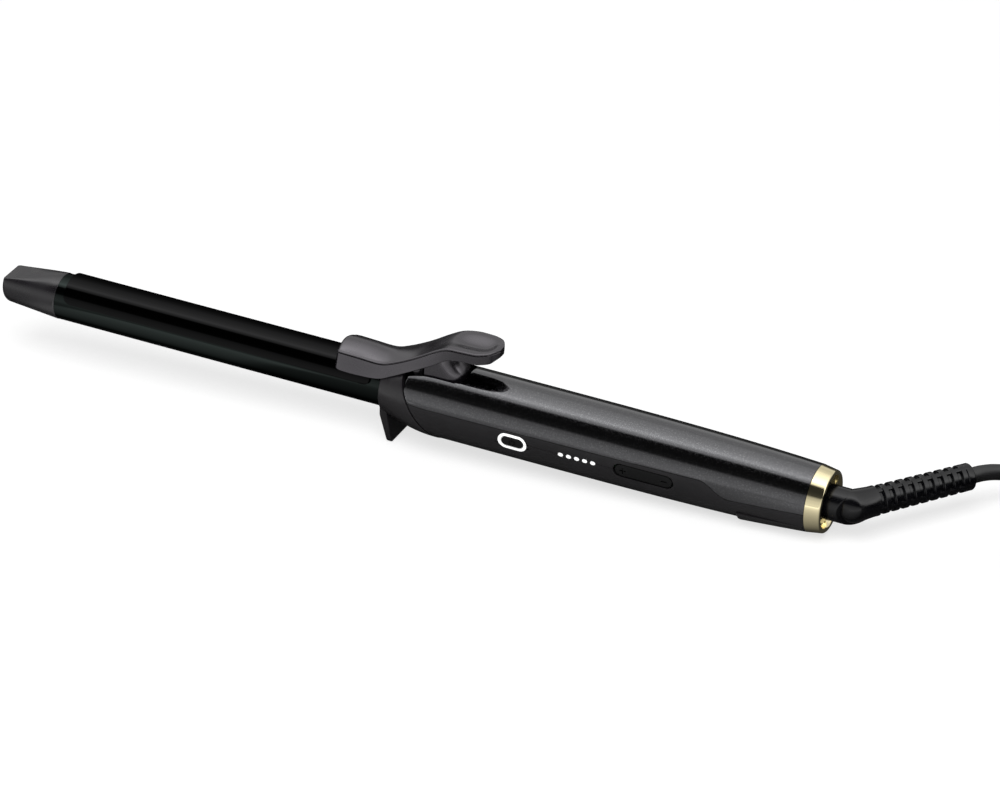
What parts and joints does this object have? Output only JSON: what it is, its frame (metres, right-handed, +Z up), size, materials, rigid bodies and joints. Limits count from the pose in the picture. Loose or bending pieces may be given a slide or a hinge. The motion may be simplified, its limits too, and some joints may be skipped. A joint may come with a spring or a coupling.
{
  "type": "curling iron",
  "caption": "Curling iron: round barrel with a sprung clamp and thumb lever, cool tip, rest foot, tapered handle with side controls, end ring, swivel cord and plug.",
  "frame": {"origin": "middle of the rest foot's bottom edge, on the surface that the iron stands on", "axes": "+X along the iron from the foot towards the cord, +Y away from the controls, +Z up"},
  "size_m": [0.6107, 0.0859, 0.0492],
  "materials": {
    "ceramic_coat": "gloss black ceramic coating on the barrel and clamp",
    "charcoal_plastic": "satin heat-proof nylon",
    "gloss_shell": "gloss black with a fine silver flake",
    "graphite_shell": "satin near-black",
    "pale_gold": "polished pale gold plating",
    "white_lamp": "white light diffuser",
    "button_black": "satin black key",
    "soft_black": "satin black elastomer",
    "cord_black": "satin black cord sheath",
    "bright_steel": "drawn steel",
    "brass_contact": "brass",
    "aluminium_bar": "extruded aluminium",
    "white_ceramic": "fired ceramic",
    "natural_nylon": "glass-filled nylon",
    "green_board": "circuit board",
    "tie_strap": "woven hook and loop strap"
  },
  "bodies": {
    "handle": {"barrel_tube": "ceramic_coat", "cool_tip": "charcoal_plastic", "heater_plate": "white_ceramic", "heat_spreader_upper": "aluminium_bar", "heat_spreader_lower": "aluminium_bar", "thermal_fuse": "bright_steel", "barrel_bush": "white_ceramic", "front_collar": "charcoal_plastic", "upper_shell": "gloss_shell", "lower_shell": "graphite_shell", "heel_pad": "graphite_shell", "shell_screws": "bright_steel", "end_ring": "pale_gold", "control_board": "green_board", "key_switches": "bright_steel", "lamp_lenses": "white_lamp", "light_ring": "white_lamp", "rocker_pivot": "bright_steel", "hinge_bracket": "natural_nylon", "hinge_pin": "bright_steel", "clamp_spring": "bright_steel", "swivel_bush": "natural_nylon", "contact_leaves": "brass_contact"},
    "clamp": {"clamp_plate": "ceramic_coat", "clamp_rivets": "bright_steel", "thumb_lever": "charcoal_plastic"},
    "power_button": {"power_button": "button_black"},
    "temperature_rocker": {"temperature_rocker": "button_black"},
    "swivel": {"swivel_body": "soft_black", "swivel_clip": "bright_steel", "slip_rings": "brass_contact", "strain_relief": "soft_black", "cord_lead": "cord_black", "cord_coil": "cord_black", "cord_tie": "tie_strap", "plug_tail": "cord_black", "plug_body": "soft_black", "plug_pins": "brass_contact"}
  },
  "joints": [
    {"name": "clamp_hinge", "type": "hinge", "parent": "handle", "child": "clamp", "pos_m": [0.01176, 0, 0.03651], "axis": [0, 1, 0], "range_deg": [0, 14], "stiffness_Nm_per_rad": 0.6, "springref_deg": -14.32, "deforming": ["clamp_spring"]},
    {"name": "power_button_press", "type": "slide", "parent": "handle", "child": "power_button", "axis": [0, 1, 0], "range_m": [0, 0.0005], "stiffness_N_per_m": 60, "springref_m": -0.004},
    {"name": "temperature_rocker_tip", "type": "hinge", "parent": "handle", "child": "temperature_rocker", "pos_m": [0.1121, -0.0112, 0.01516], "axis": [0.0451, 0, 0.999], "range_deg": [-2.5, 2.5], "stiffness_Nm_per_rad": 0.005},
    {"name": "cord_swivel", "type": "hinge", "parent": "handle", "child": "swivel", "pos_m": [0.1778, 0, 0.0138], "axis": [0.999, 0, -0.0451], "continuous": true}
  ]
}
